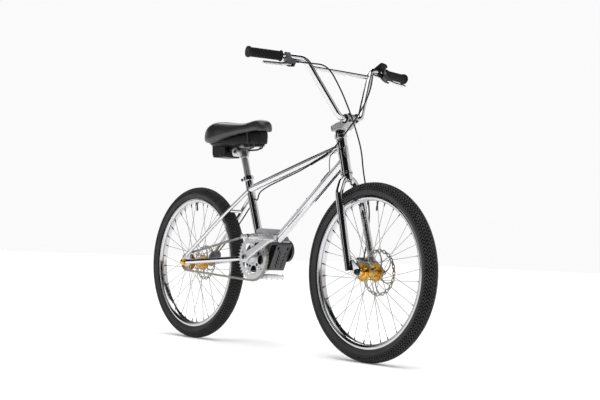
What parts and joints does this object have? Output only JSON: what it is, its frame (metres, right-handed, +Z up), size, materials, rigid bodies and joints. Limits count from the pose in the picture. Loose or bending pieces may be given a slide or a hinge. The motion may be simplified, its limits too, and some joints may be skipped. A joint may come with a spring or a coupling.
{
  "type": "bmx bike",
  "caption": "Cruiser style bicycle with a mid-drive motor, disc brakes, a cross-braced handlebar and a wide saddle over a hard case.",
  "frame": {"origin": "on the ground, midway between the two wheel axles, in the middle plane", "axes": "+X forward, +Y to the rider's left, +Z up"},
  "size_m": [1.6146, 0.742, 1.0478],
  "materials": {
    "chrome": "mirror chrome plate",
    "satin_alloy": "satin alloy",
    "gold_alloy": "gold anodised alloy",
    "rubber": "black tyre rubber",
    "grip_rubber": "ribbed black rubber",
    "black_plastic": "matt black moulded plastic",
    "black_alloy": "satin black anodised alloy",
    "motor_grey": "dark grey cast alloy",
    "light_alloy": "bead blasted alloy",
    "steel": "steel",
    "dark_steel": "dark steel",
    "vinyl": "black vinyl with a soft shine",
    "hose_black": "black hose",
    "pedal_white": "silver alloy",
    "cell_green": "shrink wrapped cell"
  },
  "bodies": {
    "frame": {"head_tube": "chrome", "top_tube": "chrome", "down_tube": "chrome", "seat_tube": "chrome", "bb_shell": "chrome", "chain_stays": "chrome", "seat_stays": "chrome", "rear_dropouts": "chrome", "bottle_bosses": "chrome", "seat_collar": "chrome", "headset_cups": "chrome", "motor_housing": "motor_grey", "motor_cover": "black_plastic", "motor_end_cover": "black_alloy", "motor_top_shell": "light_alloy", "rear_caliper": "black_alloy", "rear_hose": "hose_black", "rear_axle": "gold_alloy", "chain": "steel"},
    "seat": {"seat_post": "chrome", "seat_clamp": "satin_alloy", "saddle_rails": "dark_steel", "saddle_base": "black_plastic", "saddle_cover": "vinyl", "seat_case": "black_plastic", "battery_cells": "cell_green"},
    "steering": {"fork": "chrome", "fork_dropouts": "chrome", "crown_race": "dark_steel", "stem": "satin_alloy", "stem_face_plate": "satin_alloy", "stem_bolts": "dark_steel", "handlebar": "chrome", "grips": "grip_rubber", "lever_bodies": "black_alloy", "throttle_body": "black_plastic", "display": "black_plastic", "front_caliper": "black_alloy", "front_hose": "hose_black", "front_axle": "dark_steel"},
    "lever_right": {"lever_blade_right": "satin_alloy"},
    "lever_left": {"lever_blade_left": "satin_alloy"},
    "throttle": {"throttle_paddle": "black_plastic"},
    "front_wheel": {"front_tyre": "rubber", "front_rim": "satin_alloy", "front_spokes": "steel", "front_hub": "gold_alloy", "front_rotor": "steel", "front_valve": "black_plastic"},
    "rear_wheel": {"rear_tyre": "rubber", "rear_rim": "satin_alloy", "rear_spokes": "steel", "rear_hub": "gold_alloy", "rear_rotor": "steel", "rear_valve": "black_plastic"},
    "crank": {"cranks": "satin_alloy", "chainring": "satin_alloy"},
    "freewheel": {"rear_cog": "steel"},
    "right_pedal": {"pedal_right": "pedal_white"},
    "left_pedal": {"pedal_left": "pedal_white"}
  },
  "joints": [
    {"name": "steering", "type": "hinge", "parent": "frame", "child": "steering", "pos_m": [0.36966, 0, 0.63953], "axis": [-0.2723, 0, 0.9622], "range_deg": [-60, 60], "deforming": ["rear_hose"]},
    {"name": "seat_height", "type": "slide", "parent": "frame", "child": "seat", "axis": [-0.3535, 0, 0.9354], "range_m": [-0.06, 0.06]},
    {"name": "front_wheel_spin", "type": "hinge", "parent": "steering", "child": "front_wheel", "pos_m": [0.5065, 0, 0.301], "axis": [0, 1, 0], "continuous": true},
    {"name": "rear_wheel_spin", "type": "hinge", "parent": "frame", "child": "rear_wheel", "pos_m": [-0.5065, 0, 0.301], "axis": [0, 1, 0], "continuous": true},
    {"name": "crank_spin", "type": "hinge", "parent": "frame", "child": "crank", "pos_m": [-0.075, 0, 0.332], "axis": [0, 1, 0], "continuous": true, "deforming": ["chain"]},
    {"name": "freewheel_spin", "type": "hinge", "parent": "frame", "child": "freewheel", "pos_m": [-0.5065, 0, 0.301], "axis": [0, 1, 0], "continuous": true, "deforming": ["chain"]},
    {"name": "right_pedal_spin", "type": "hinge", "parent": "crank", "child": "right_pedal", "pos_m": [0.0778, 0, 0.40652], "axis": [0, 1, 0], "continuous": true},
    {"name": "left_pedal_spin", "type": "hinge", "parent": "crank", "child": "left_pedal", "pos_m": [-0.22779, 0, 0.25748], "axis": [0, 1, 0], "continuous": true},
    {"name": "right_brake", "type": "hinge", "parent": "steering", "child": "lever_right", "pos_m": [0.31771, -0.23071, 0.99044], "axis": [-0.6919, 0.1461, -0.7071], "range_deg": [0, 11], "stiffness_Nm_per_rad": 2},
    {"name": "left_brake", "type": "hinge", "parent": "steering", "child": "lever_left", "pos_m": [0.31771, 0.23071, 0.99044], "axis": [0.6919, 0.1461, 0.7071], "range_deg": [0, 11], "stiffness_Nm_per_rad": 2},
    {"name": "throttle_push", "type": "hinge", "parent": "steering", "child": "throttle", "pos_m": [0.26358, 0.23015, 1.01665], "axis": [0.6919, 0.1461, 0.7071], "range_deg": [0, 25], "stiffness_Nm_per_rad": 0.05}
  ],
  "couplings": [
    {"joint": "freewheel_spin", "follows": "crank_spin", "ratio": 2.625}
  ]
}
